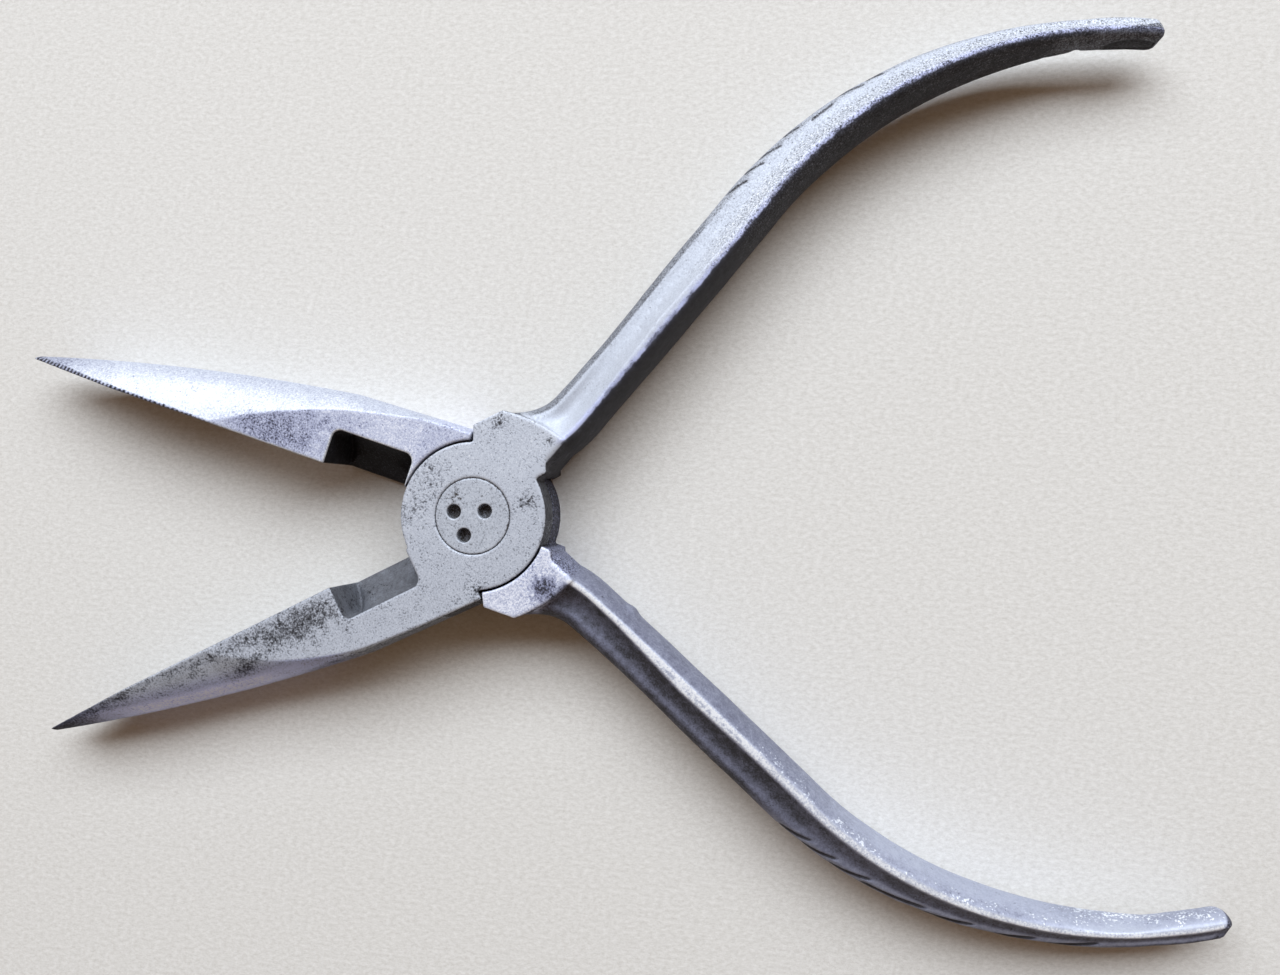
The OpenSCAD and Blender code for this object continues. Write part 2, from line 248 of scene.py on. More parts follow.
def jaw_blank(side, seed):
    """The jaw with its stop, its clearance round both discs, its teeth and its cutter."""
    stations = jaw_l * np.linspace(0, 1, jaw_sections) ** section_crowd
    jaw = solid("jaw", [jaw_ring(s, side) for s in stations])
    c, s = math.cos(jaw_stop), math.sin(jaw_stop)
    stop = np.array([[0, 0], [1, 0], [1, 1], [0, 1]]) * nose_l @ np.array([[c, s], [-s, c]])
    work(jaw, slab("stop", stop, -joint_t, joint_t))
    work(jaw, slab("under", ring_line(recess_r), -joint_t, lap_gap / 2))
    work(jaw, slab("over", ring_line(disc_r - past), 0, joint_t))
    work(jaw, tooth_grooves(seed))
    work(jaw, flip(pocket_tool(), side))
    return work(jaw, flip(knife_relief_tool(), side))


def shoulder_ease_tool():
    """Rounds the shoulder's inner edge from the crotch on, down to the handle's own inner side."""
    rings = []
    for a in np.radians([10, 25, 40, 55, 70, 90, 90]):
        i = ease_r * (1 - math.cos(a))
        z = half_t - (half_t - ease_edge) * (1 - math.sin(a)) + past * (len(rings) == 6)
        rings.append([[0, -past, z], [0, 0, z], [i, i, z], [joint_w, i, z], [joint_w, -past, z]])
    rings = np.array(rings)
    c, s = math.cos(handle_angle), math.sin(handle_angle)
    x = rings[..., 0] * c - rings[..., 1] * s + crotch_x
    y = rings[..., 0] * s + rings[..., 1] * c + crotch_gap
    return solid("shoulder_ease", np.stack([x, y, rings[..., 2]], axis=-1))


def joint_blank():
    """The lever's half of the lap joint: its disc on the shoulder, which holds the other disc's recess."""
    arm, reach = joint_w / 2 / math.sin(stop_dir), shoulder_r + shoulder_back
    step = np.array([math.cos(stop_dir), math.sin(stop_dir)])
    corners = [[0, 0], arm * step, [reach, joint_w / 2],
               [reach, crotch_gap + (reach - crotch_x) * math.tan(handle_angle)],
               [crotch_x, crotch_gap], [0, crotch_gap]]
    shoulder = slab("shoulder", corners, -half_t, half_t)
    work(shoulder, slab("round", ring_line(reach) - shoulder_back * step, -joint_t, joint_t), "INTERSECT")
    for face in (1, -1):
        work(shoulder, flip(shoulder_ease_tool(), face))
    work(shoulder, slab("recess", ring_line(recess_r), -joint_t, lap_gap / 2))
    return work(shoulder, slab("disc", ring_line(disc_r), lap_gap / 2, half_t), "UNION")


# The handle: a straight run and a bow, with a steep inner side, a narrow crest, a hollow flute and a
# rounded grip face
handle_angle, handle_offset = math.radians(23.4), 0.8
straight_l, bow_r, bow_l = 52, 53, 53.2
handle_l = straight_l + bow_l
handle_w, bow_w, waist_w = 7, 6.1, 3.3
lobe_w, lobe_l, lobe_set = 3.5, 9, 0.5
bow_full_l = bow_l * 0.28
handle_t, end_t, end_face, end_round = 8.6, 4.4, 0.3, 1.4
neck_start, neck_full, neck_end, rise_end = recess_r + 0.6, recess_r + 2.6, 18, 17
neck_flare, neck_inset, neck_t, neck_curl = 3.4, 1, joint_t - 0.1, 2.2
crest_in, crest_w, crest_drift = 1.5, 0.8, 0.6
crest_s, crest_w_at_s = [14, 22, 33, 42, 60], [0.4, 0.5, 1.2, 0.9, crest_w]
grip_face_w, grip_face_rise = 1.7, 0.62
flute_d, neck_flute_d, neck_flute_s, neck_flute_l = 0.35, 0.45, 17, 6

# Where hand dressing took a side of each handle in: depth, place along it and spread
outer_dips = {1: [(0.25, 27, 10)], -1: [(0.25, 27, 10), (-0.15, 66, 22)]}
inner_dips = {1: [(-0.15, 33, 14)], -1: [(0.5, 66, 22)]}

spine_start = handle_offset * np.array([math.sin(handle_angle), -math.cos(handle_angle)])
bow_from = spine_start + straight_l * np.array([math.cos(handle_angle), math.sin(handle_angle)])
bow_centre = bow_from + bow_r * np.array([math.sin(handle_angle), -math.cos(handle_angle)])


def hump(s, middle, spread):
    """1 in the middle, falling off evenly on both sides."""
    return np.exp(-((s - middle) / spread) ** 2)


def dip(s, places):
    """How far a side is taken in at s."""
    return sum(deep * hump(s, middle, spread) for deep, middle, spread in places)


def handle_lines(s, side):
    """Width, thickness, sideways set, crest lines, grip line, rise to the shoulder and flute depth at s."""
    w = np.interp(s, [straight_l, straight_l + bow_full_l, handle_l - lobe_l], [handle_w, bow_w, waist_w])
    lobe = np.clip((s - handle_l + lobe_l) / (lobe_l - end_round), 0, 1)
    w = w + (lobe_w - waist_w) * np.sin(math.pi * lobe)
    bend = np.clip((s - straight_l) / (bow_l - lobe_l), 0, 1)
    neck = np.clip((neck_end - s) / (neck_end - neck_full), 0, 1) ** neck_curl
    rise = np.clip((rise_end - s) / (rise_end - neck_full), 0, 1) ** 2
    t = handle_t - (handle_t - end_t) * bend ** 3
    t = t + (neck_t - t) * rise
    w = w + (neck_flare - neck_inset) * neck
    middle = (neck_flare + neck_inset) * neck / 2 + lobe_set * bend ** 3
    outer, inner = dip(s, outer_dips[side]), dip(s, inner_dips[side])
    w, middle = w - outer - inner, middle + (inner - outer) / 2
    k = np.minimum(1, w / handle_w)
    c0 = crest_in * k * (1 + crest_drift * bend)
    c1 = c0 + k * np.interp(s, crest_s, crest_w_at_s)
    hollow = (flute_d + neck_flute_d * hump(s, neck_flute_s, neck_flute_l)) * k * (1 - rise)
    return w, t, middle, c0, c1, w - grip_face_w * k, rise, hollow


def handle_place(s, q):
    """Where s along the middle line and q outwards from it lie in the lever."""
    a = handle_angle - max(0, s - straight_l) / bow_r
    along = spine_start + min(s, straight_l) * np.array([math.cos(handle_angle), math.sin(handle_angle)])
    if s > straight_l:
        along = bow_centre + bow_r * np.array([-math.sin(a), math.cos(a)])
    return along[0] - math.sin(a) * q, along[1] + math.cos(a) * q


def handle_ring(s, side, shrink=1):
    """One section of the handle, s millimetres along its middle line."""
    w, t, middle, c0, c1, g0, rise, hollow = handle_lines(s, side)
    h = t / 2
    g_h = h * (grip_face_rise + (1 - grip_face_rise) * rise)
    quarter = np.linspace(0, math.pi / 2, 10)
    run = np.linspace(0, 1, 14)[1:-1]
    q = np.concatenate([c0 * (1 - np.cos(quarter)), [c1], c1 + (g0 - c1) * run,
                        g0 + (w - g0) * np.sin(quarter)])
    z = np.concatenate([h * np.sin(quarter), [h], h + (g_h - h) * run - hollow * np.sin(math.pi * run),
                        g_h * np.cos(quarter)])
    q, z = np.concatenate([q, q[-2:0:-1]]) - w / 2, np.concatenate([z, -z[-2:0:-1]])
    x, y = handle_place(s, q * shrink + middle)
    return np.c_[x, y, z * shrink]


def handle_blank(side):
    """The whole handle, with a rounded end."""
    rings = [handle_ring(s, side) for s in np.linspace(neck_start, handle_l - end_round, 280)]
    for a in np.linspace(0, math.pi / 2, 7)[1:]:
        shrink = end_face + (1 - end_face) * math.cos(a)
        rings.append(handle_ring(handle_l - end_round * (1 - math.sin(a)), side, shrink))
    return solid("handle", rings)


def even_skin(piece, step):
    """Welds a piece's blanks into one closed skin of small even faces."""
    skin = piece.modifiers.new("skin", "REMESH")
    skin.mode = "VOXEL"
    skin.voxel_size = step
    settle(piece)


lever_skin_step = 0.14


def forging(name, side, seed, seats):
    """A whole lever, drawn closed: the joint with the pin's seats, the jaw and the handle."""
    lever = joint_blank()
    for radius, z0, z1 in seats:
        work(lever, slab("seat", ring_line(radius), z0, z1))
    work(lever, jaw_blank(side, seed), "UNION")
    work(lever, handle_blank(side), "UNION")
    even_skin(lever, lever_skin_step)
    lever.name = name
    return lever


def file_end(lever, *facets):
    """Files flats on a handle's end, each from one place on its outline to another, along and outwards."""
    for start, end in facets:
        a, b = np.array(handle_place(*start)), np.array(handle_place(*end))
        away = 3 * np.array([a[1] - b[1], b[0] - a[0]])
        work(lever, slab("end_facet", [a, b, b + away, a + away], -joint_t, joint_t))


def read_points(piece):
    points = np.empty(len(piece.data.vertices) * 3)
    piece.data.vertices.foreach_get("co", points)
    return points.reshape(-1, 3)


def read_normals(piece, points):
    """The way the skin faces at each point, once its points are moved to these places."""
    piece.data.vertices.foreach_set("co", points.ravel())
    piece.data.update()
    normals = np.empty(len(points) * 3)
    piece.data.vertex_normals.foreach_get("vector", normals)
    return normals.reshape(-1, 3)


class Skin:
    """A piece's even skin, with the neighbours of each point."""

    def __init__(self, piece):
        edges = np.empty(len(piece.data.edges) * 2, int)
        piece.data.edges.foreach_get("vertices", edges)
        self.a, self.b = edges.reshape(-1, 2).T
        self.count = len(piece.data.vertices)
        self.share = 1 / np.maximum(1, np.bincount(np.r_[self.a, self.b], minlength=self.count))

    def near(self, values):
        """Each point's mean over its neighbours."""
        if values.ndim == 2:
            return np.stack([self.near(column) for column in values.T], axis=1)
        total = np.bincount(self.a, values[self.b], self.count)
        return (total + np.bincount(self.b, values[self.a], self.count)) * self.share

    def ease(self, values, rounds, weight=0.5):
        """Moves each point towards that mean, a few times over."""
        for _ in range(rounds):
            part = weight if np.isscalar(weight) or values.ndim == 1 else weight[:, None]
            values = values + part * (self.near(values) - values)
        return values


def mottle(points, size, seed):
    """Smooth random values from -1 to 1 that change over about so many millimetres."""
    table = np.random.default_rng(seed).uniform(-1, 1, (32, 32, 32))
    cell = points / size
    low = np.floor(cell).astype(int)
    t = cell - low
    t = t * t * (3 - 2 * t)
    value = np.zeros(len(points))
    for corner in itertools.product((0, 1), repeat=3):
        i, j, k = ((low + corner) % 32).T
        value += np.prod(np.where(corner, t, 1 - t), axis=1) * table[i, j, k]
    return value


def ramp(values, start, end):
    """0 before start, 1 past end, smooth between."""
    t = np.clip((values - start) / (end - start), 0, 1)
    return t * t * (3 - 2 * t)


def window(values, start, end, soft):
    """1 between start and end, fading to 0 over a soft edge."""
    return ramp(values, start - soft, start + soft) * ramp(values, end + soft, end - soft)


def spot(points, x, y, rx, ry=None):
    """1 at a place on the face, fading to 0 over its radius."""
    far = ((points[:, 0] - x) / rx) ** 2 + ((points[:, 1] - y) / (ry or rx)) ** 2
    return np.exp(-2 * far)


def spots(points, places):
    """Several spots together, each with its strength as its last number."""
    return sum(strength * spot(points, *place) for *place, strength in places)


def along_handle(points):
    """Each point's distance along the handle's middle line, and outwards from it."""
    x, y = points[:, 0] - spine_start[0], points[:, 1] - spine_start[1]
    c, s = math.cos(handle_angle), math.sin(handle_angle)
    straight, off = x * c + y * s, y * c - x * s
    bx, by = points[:, 0] - bow_centre[0], points[:, 1] - bow_centre[1]
    bowed = straight > straight_l
    round_s = straight_l + bow_r * (handle_angle - np.arctan2(-bx, by))
    return np.where(bowed, round_s, straight), np.where(bowed, np.hypot(bx, by) - bow_r, off)


# The grip: thin cuts filed across the outer face while hot, at a slant, further apart towards the end
grip_half = handle_t * grip_face_rise / 2
cut_w = 0.2


def grip_cuts(points, cuts):
    """How far each point lies down in a thin leaf-shaped cut, each drawn from one place to another."""
    s, off = along_handle(points)
    level = np.abs(points[:, 2]) / grip_half
    deep = np.zeros(len(points))
    for s0, off0, s1, off1 in cuts:
        k = (s - s0) / (s1 - s0)
        line = off0 + (off1 - off0) * (0.7 * k + 0.3 * k * k)
        deep = np.maximum(deep, ramp(k, -0.05, 0.15) * ramp(k, 1.05, 0.8) * hump(off, line, cut_w))
    return deep * ramp(level, 0.15, 0.5)


# How the skin is worn, each by depth and size: a hand's waves, ripples, and pits that come in fields
wave_d, wave_l = 0.05, 4.5
ripple_d, ripple_l = 0.02, 1.8
pit_d, pit_l, pit_field_l = 0.04, 0.5, 3


def wear(piece, side, seed, marks):
    """Wears a plain forging, and says where each point of its skin then lies."""
    skin, points = Skin(piece), read_points(piece)
    s, off = along_handle(points)
    handle = ramp(s, 15, 22) * (points[:, 0] > 0)
    points = skin.ease(points, 2, 0.3 + 0.3 * handle)
    points = skin.ease(points, 4, 0.5 * ramp(points[:, 0], 8, 11) * ramp(s, 24, 18))
    normals = read_normals(piece, points)
    jaw = ramp(-points[:, 0], 11, 16)
    wave = wave_d * (mottle(points, wave_l, seed) - 1) * handle
    ripple = ripple_d * (mottle(points, ripple_l, seed + 1) - 1) * (handle + 0.5 * jaw)
    field = ramp(mottle(points, pit_field_l, seed + 3), -0.4, 0.6)
    pits = pit_d * ramp(mottle(points, pit_l, seed + 2), 0.35, 0.8) * field
    push = wave + ripple - pits * (0.35 + 0.65 * np.maximum(handle, jaw))
    points = points + normals * (push + marks(points, s, off))[:, None]
    points = skin.ease(points, 1, 0.3)
    return points, faces_of(points, read_normals(piece, points), side)


def faces_of(points, normals, side):
    """Each point's place along and across its lever, and its share in each of the lever's faces."""
    s, off = along_handle(points)
    x, y, z = points.T
    up = np.abs(normals[:, 2])
    w, _, middle, c0, c1, g0, _, _ = handle_lines(s, side)
    q = off - middle + w / 2
    handle = ramp(s, 12.5, 15) * (x > 4) * ramp(np.hypot(x, y), 13, 14.5)
    jaw = ramp(-x, 8.5, 9.5)
    flat = ramp(up, 0.97, 0.995) * (1 - handle)
    lean = handle_angle - np.maximum(0, s - straight_l) / bow_r
    inwards = ramp(normals[:, 0] * np.sin(lean) - normals[:, 1] * np.cos(lean), 0.45, 0.75)
    in_pocket = (x > -pocket_far - 0.3) * (x < 0.2 - pocket_near) * (y > -pocket_w - 0.2)
    return SimpleNamespace(
        s=s, off=off, q=q, c0=c0, c1=c1, g0=g0, up=up, handle=handle, jaw=jaw, flat=flat,
        bevel=jaw * (1 - flat),
        edge=jaw_half_width(np.clip(x + nose_l, 0, jaw_l)) + y,
        pocket=jaw * in_pocket * (np.abs(z) < half_t - 0.25),
        wall=ramp(up, 0.5, 0.3) * (1 - handle),
        crest=handle * window(q, c0 - 0.15, c1 + 0.1, 0.15) * ramp(up, 0.6, 0.8),
        inner=np.maximum(handle * ramp(q, c0 + 0.05, c0 - 0.25), inwards * ramp(x, 9.5, 10.5)),
        grip=handle * ramp(q, g0 + 0.3, g0 + 0.6))


def set_points(piece, points):
    """Puts a skin's points where they lie in the frame, from millimetres."""
    piece.data.vertices.foreach_set("co", (points * MM).ravel())
    piece.data.update()
    piece.data.shade_smooth()


def open_lever(piece, points, side):
    """Turns the closed lever to where it lies open."""
    turned = points * [1, side, side]
    c, s = math.cos(side * swing), math.sin(side * swing)
    x, y = turned[:, 0] * c - turned[:, 1] * s, turned[:, 0] * s + turned[:, 1] * c
    set_points(piece, np.c_[x, y, turned[:, 2] + half_t])


def coats(start, *layers):
    """Lays coats over one another. Each is a share of the skin and the brightness that it is painted to:
    its wear, and in places painted shade and painted highlights.
    """
    shade = start
    for share, bright in layers:
        shade = shade + share * (bright - shade)
    return shade


def paint(piece, **layers):
    """Writes what a skin is like at each point, from 0 to 1. A layer that isn't given is 0 all over."""
    for name in ("shade", "pitting", "flecks", "grain", "lavender"):
        values = np.zeros(len(piece.data.vertices)) + layers.get(name, 0)
        layer = piece.data.attributes.new(name, "FLOAT", "POINT")
        layer.data.foreach_set("value", np.clip(values, 0, 1).astype(np.float32))


# The end of the upper handle is hammered to a dark oval lobe, and its inner edge is chipped in front of it
oval_s, oval_z, oval_half_l, oval_half_w, oval_d = 101.8, -0.2, 3.4, 1.5, 0.3
chips_from, chips_to, chip_d = 92.5, 99, 0.45
edge_pit_d, front_cut_d = 0.03, 0.16
front_end_facets = (((103.3, 2.6), (105.5, 0.4)), ((105.5, 0.4), (104.0, -1.6)))
front_cuts = [(50.0, 3.2, 53.2, 1.9), (53.2, 3.2, 55.9, 1.9), (55.5, 3.2, 58.8, 1.9), (59.3, 3.0, 61.6, 2.4),
              (62.7, 2.0, 66.4, 2.1), (66.6, 2.9, 70.4, 1.9), (70.5, 2.6, 73, 2.1)]
front_seats = [(3.02, -joint_t, joint_t), (4.73, half_t - 2.2, joint_t)]

# Rust has pitted the nose and the joint in places, and the end's inner side is painted dark out to a crooked
# line, for its dark scale and as painted shade where it faces away from the window
nose_pit_spots = [(-26, -2.5, 9, 3.5, 1), (-38, -1.2, 9, 1.8, 0.7), (-35, -4.5, 4, 1.5, 0.8),
                  (-53, -0.6, 10, 1.2, 0.8)]
joint_pit_spots = [(-3.7, -8.5, 2.0, 2.0, 1), (12.8, 3.9, 0.9, 0.9, 1), (7.1, -1.4, 2.2, 2.2, 0.7),
                   (-7.1, 4, 3, 3, 0.7), (8, 8.8, 1.8, 1.8, 0.8), (-2, 6.5, 4, 4, 0.6)]
scale_and_shade_s, scale_and_shade_off = [92, 97, 99, 101, 102, 103, 104, 105.5], [-0.9, -0.3, -0.2, 0.2, 0.5, 0.8, 1.0, 1.6]


def hammered_oval(points, s, off, full):
    """1 in the oval, which is full at this share of its size and fades out past it."""
    far = ((s - oval_s) / oval_half_l) ** 2 + ((points[:, 2] - oval_z) / oval_half_w) ** 2
    return ramp(far, 1.15, full) * ramp(off, 0.8, 0.2)


def front_marks(points, s, off):
    """Chips before the end, the hammered oval, pits along the outer edge and the filed cuts."""
    lower_edge = ramp(off, -0.4, -1.0) * ramp(points[:, 2], 0.4, -0.6)
    chips = ramp(mottle(points, 1.3, 61), -0.3, 0.5) * window(s, chips_from, chips_to, 1.0) * lower_edge
    edge = window(off, -2.9, -1.6, 0.25) * window(s, 20, 90, 4)
    edge_pits = ramp(mottle(points, 0.7, 62), 0.0, 0.6) * edge
    return (-chip_d * chips - oval_d * hammered_oval(points, s, off, 0.6) - edge_pit_d * edge_pits
            - front_cut_d * grip_cuts(points, front_cuts))


def front_look(points, at):
    """How the front lever is worn: its brightness, pits, grain and lavender cast at each point. The
    brightness also holds painted shade and a painted highlight.
    """
    x, y, z = points.T
    s, q, jaw, handle = at.s, at.q, at.jaw, at.handle
    nose_pits, joint_pits = spots(points, nose_pit_spots), spots(points, joint_pit_spots)
    rust = ramp(nose_pits + 0.15 * mottle(points, 0.9, 75) + 0.35 * mottle(points, 0.4, 76), 0.26, 1.05)
    streak = ramp(mottle(points * [0.35, 0.35, 1], 0.5, 72) + 0.5 * mottle(points, 2.5, 71), -0.3, 0.3)
    ragged = q - at.c0 + 0.16 * mottle(points, 0.3, 74)
    end_scale_and_shade = at.off - np.interp(s, scale_and_shade_s, scale_and_shade_off) + 0.2 * mottle(points, 0.6, 73)
    shade = coats(
        0.63 + 0.07 * ramp(y, -3, 4),
        # The joint's and the jaw's side walls, painted darker as painted shade
        (at.wall * (1 - jaw), 0.25),
        (at.wall * jaw, 0.36),
        # The nose: its bevel, a bright streak along the outer edge, its flat, its dark tip and the rust
        (at.bevel * (1 - at.wall), 0.55 - 0.02 * ramp(-x, 20, 34)),
        (jaw * window(at.edge, 0.1, 1.7, 0.4) * ramp(-x, 24, 36), 0.93),
        (jaw * at.flat * ramp(-x, 20, 30), 0.62 + 0.06 * ramp(-x, 32, 42)),
        (jaw * ramp(-x, 50, 63), 0.22),
        (jaw * rust * (1 - at.wall) * ramp(-x, 42, 33), 0.4),
        (at.pocket, 0.32),
        # The handle: its face, the outer half of it, and the hollow of the neck, painted brighter as a
        # painted highlight where it faces the window
        (handle, 0.7 - 0.06 * ramp(s, 50, 75)),
        (handle * ramp(q, at.c1 + 0.6, at.g0 + 0.4), 0.61),
        (handle * hump(s, 15, 3.5) * ramp(q, at.g0, at.c1), 0.74),
        # The streaky crest, the grip face, and a ragged dark edge down into the inner side, which is painted
        # dark for its forge scale and as painted shade where it faces away from the window
        (handle * window(q, at.c0 - 0.3, at.c0 + 0.3, 0.25) * streak, 0.45),
        (at.grip, 0.385 + 0.135 * ramp(s, 42, 50)),
        (handle * ramp(ragged, 0.6, 0.1) * (0.35 + 0.65 * streak) * ramp(s, 16, 22), 0.38),
        (at.inner, 0.18 + 0.03 * ramp(s, 40, 30)),
        (handle * ramp(ragged, 0.05, -0.2) * ramp(s, 16, 22), 0.18),
        # The end's inner side, painted dark for its scale and as painted shade, the oval, and the filed cuts
        (ramp(s, 91, 94) * ramp(end_scale_and_shade, 0.25, -0.15), 0.29),
        (hammered_oval(points, s, at.off, 0.7), 0.12),
        # The filed cuts are painted darker, as painted shade in them
        (ramp(grip_cuts(points, front_cuts), 0.1, 0.9), 0.27))
    bow_grain = (0.5 * ramp(s, 36, 50) * ramp(q, at.c1 + 2, at.c1 + 1) * handle
                 - 0.2 * ramp(s, 50, 36) * handle - 0.65 * ramp(ragged, 0.3, -0.1))
    return {
        "shade": shade,
        "pitting": 0.3 + 0.6 * jaw * nose_pits + 0.75 * joint_pits - 0.3 * handle - 0.2 * at.pocket,
        "grain": 0.42 - 0.2 * at.pocket - 0.15 * at.bevel + bow_grain * (x > 8),
        "lavender": (at.bevel * (1 - at.pocket) * ramp(-x, 20, 25) * ramp(at.edge, 4, 1.5)
                     + handle * hump(ragged, 0.1, 0.4))}


front_lever = forging("front_lever_forging", side=1, seed=11, seats=front_seats)
file_end(front_lever, *front_end_facets)
front_points, front_faces = wear(front_lever, side=1, seed=21, marks=front_marks)
paint(front_lever, **front_look(front_points, front_faces))
open_lever(front_lever, front_points, side=1)


def link(tree, a, b):
    tree.links.new(a, b)


def steel(name, dark, mid, plain, bright, rough, seed):
    """Old forged steel: a clouded grey between a dark oxide and a worn bright metal, with specks and pits.
    The painted layer that sets its tone also holds painted shade and painted highlights.
    """
    black, polished, lavender_cast = tuple(0.25 * c for c in dark), (0.93, 0.97, 1.0), (0.90, 0.91, 1.15, 1)
    material = bpy.data.materials.new(name)
    material.use_nodes = True
    tree = material.node_tree
    tree.nodes.clear()
    out = tree.nodes.new("ShaderNodeOutputMaterial")
    metal = tree.nodes.new("ShaderNodeBsdfPrincipled")
    link(tree, metal.outputs["BSDF"], out.inputs["Surface"])
    place = tree.nodes.new("ShaderNodeTexCoord").outputs["Object"]

    def cloud(size_mm, detail=3.0, roughness=0.55):
        """A cloudy pattern whose largest patches are about so wide, each call with its own."""
        node = tree.nodes.new("ShaderNodeTexNoise")
        node.noise_dimensions = "4D"
        node.inputs["W"].default_value = seed + 0.37 * len(tree.nodes)
        node.inputs["Scale"].default_value = 1 / (size_mm * MM)
        node.inputs["Detail"].default_value = detail
        node.inputs["Roughness"].default_value = roughness
        link(tree, place, node.inputs["Vector"])
        return node.outputs["Fac"]

    def layer(painted):
        node = tree.nodes.new("ShaderNodeAttribute")
        node.attribute_name = painted
        return node.outputs["Fac"]

    def sum_of(start, *terms, clamp=False):
        """start plus every socket times its own factor."""
        total = start
        for socket, factor in terms:
            node = tree.nodes.new("ShaderNodeMath")
            node.operation = "MULTIPLY_ADD"
            node.use_clamp = clamp and socket is terms[-1][0]
            for slot, value in zip(node.inputs, (socket, factor, total)):
                if isinstance(value, (int, float)):
                    slot.default_value = value
                else:
                    link(tree, value, slot)
            total = node.outputs[0]
        return total

    def stretch(value, low, high, to_low=0.0, to_high=1.0):
        """Carries a value's run from low to high over to another run, smoothly."""
        node = tree.nodes.new("ShaderNodeMapRange")
        node.interpolation_type = "SMOOTHSTEP"
        for slot, number in zip(("From Min", "From Max", "To Min", "To Max"), (low, high, to_low, to_high)):
            node.inputs[slot].default_value = number
        link(tree, value, node.inputs["Value"])
        return node.outputs["Result"]

    # Rust specks and larger blots that crowd together, and bright flecks where the oxide is rubbed through
    pitting, flecks, grain = layer("pitting"), layer("flecks"), layer("grain")
    crowd = cloud(1.6, 4, 0.6)
    coarse = sum_of(-0.5, (cloud(0.22, 3, 0.75), 1.0))
    specks = stretch(sum_of(-0.25, (cloud(0.27, 2, 0.5), 1.0), (pitting, 0.28), (crowd, 0.45)), 0.64, 0.73)
    blots = stretch(sum_of(-0.35, (cloud(0.5, 3, 0.6), 1.0), (pitting, 0.3), (crowd, 0.6)), 0.67, 0.85)
    rubbed = sum_of(-0.2, (cloud(0.27, 2, 0.5), 1.0), (cloud(2.2, 3, 0.6), 0.7), (flecks, 0.28))
    bright_flecks = stretch(rubbed, 0.98, 1.04)

    # The tone: the painted shade, clouded and grainy, darkened by the specks and lit by the flecks
    tone = sum_of(-0.21, (layer("shade"), 1.0), (cloud(3.2, 5, 0.6), 0.14), (cloud(0.9, 5, 0.7), 0.28),
                  (sum_of(0.0, (coarse, sum_of(0.0, (grain, 3.0)))), 1.0))
    kept = sum_of(1.0, (specks, -0.3), (blots, -0.4), clamp=True)
    tone = sum_of(0.0, (tone, kept))
    tone = sum_of(tone, (bright_flecks, 0.4), clamp=True)
    colours = tree.nodes.new("ShaderNodeValToRGB")
    stops = ((0.0, black), (0.22, dark), (0.36, mid), (0.55, plain), (0.85, bright), (1.0, polished))
    for k, (position, colour) in enumerate(stops):
        stop = colours.color_ramp.elements[k] if k < 2 else colours.color_ramp.elements.new(position)
        stop.position, stop.color = position, (*colour, 1)
    link(tree, tone, colours.inputs["Fac"])
    tinted = tree.nodes.new("ShaderNodeMix")
    tinted.data_type, tinted.blend_type = "RGBA", "MULTIPLY"
    link(tree, layer("lavender"), tinted.inputs["Factor"])
    link(tree, colours.outputs["Color"], tinted.inputs["A"])
    tinted.inputs["B"].default_value = lavender_cast
    link(tree, tinted.outputs["Result"], metal.inputs["Base Color"])

    # Bright metal is smoother and more metallic than oxide, and the skin is finely rough all over
    metal.inputs["Specular IOR Level"].default_value = 0.2
    dull = sum_of(rough, (cloud(0.8, 4, 0.6), 0.16), (tone, -0.26), (specks, 0.15), clamp=True)
    link(tree, dull, metal.inputs["Roughness"])
    worn, shiniest = stretch(tone, 0.1, 0.6, 0.05, 0.3), stretch(tone, 0.85, 1.0)
    bare = sum_of(0.0, (worn, 1.0), (shiniest, -0.25), clamp=True)
    link(tree, bare, metal.inputs["Metallic"])
    bump = tree.nodes.new("ShaderNodeBump")
    bump.inputs["Strength"].default_value = 0.45
    bump.inputs["Distance"].default_value = 0.04 * MM
    skin = sum_of(0.0, (specks, -0.6), (blots, -0.5), (cloud(0.12, 3, 0.6), 0.6), (cloud(0.7, 4, 0.6), 0.8))
    link(tree, skin, bump.inputs["Height"])
    link(tree, bump.outputs["Normal"], metal.inputs["Normal"])
    return material


front_lever.data.materials.append(steel(
    "front_lever_worn_steel", dark=(0.058, 0.060, 0.069), mid=(0.20, 0.215, 0.25),
    plain=(0.51, 0.556, 0.643), bright=(0.69, 0.75, 0.85), rough=0.68, seed=3.0))
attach(front_lever, "front_lever_body")
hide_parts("front_lever")

# Back lever
# The other forging of the pair: the upper left jaw, the rear half of the lap joint and the lower right
# handle. It lies turned over, so that its cutter opens on the face that its own disc is under.
flash_s, flash_l, flash_d = 22.2, 0.9, 0.3
dent_s, dent_l, dent_d = 93, 3.2, 0.42
back_cut_d = 0.22
back_end_facet, facet_slope = ((102.7, 2.9), (105.4, 0.0)), 1.074
back_cuts = [(52.3, 3.4, 56.5, 2.0), (55.3, 3.4, 60, 1.9), (59.0, 3.3, 64.5, 1.7), (63.0, 2.9, 71.5, 1.8),
             (68.5, 3.1, 77, 1.6), (75, 2.9, 84, 1.4), (81.0, 2.6, 91.0, 1.2)]
back_seats = [(3.05, -joint_t, joint_t), (4.1, half_t - 0.8, joint_t)]

# Rust has left a rough patch on the nose's flat, a dark blob on the shoulder and a few pits beside the joint
rough_spots, rough_field = [(-28, -2.2, 9, 4.2, 1), (-21, -5.5, 7, 2.4, 0.3)], (-24, -4, 12, 5)
blob, joint_side_pits = (11.3, 5.3), (-7, -9, 7, 4)


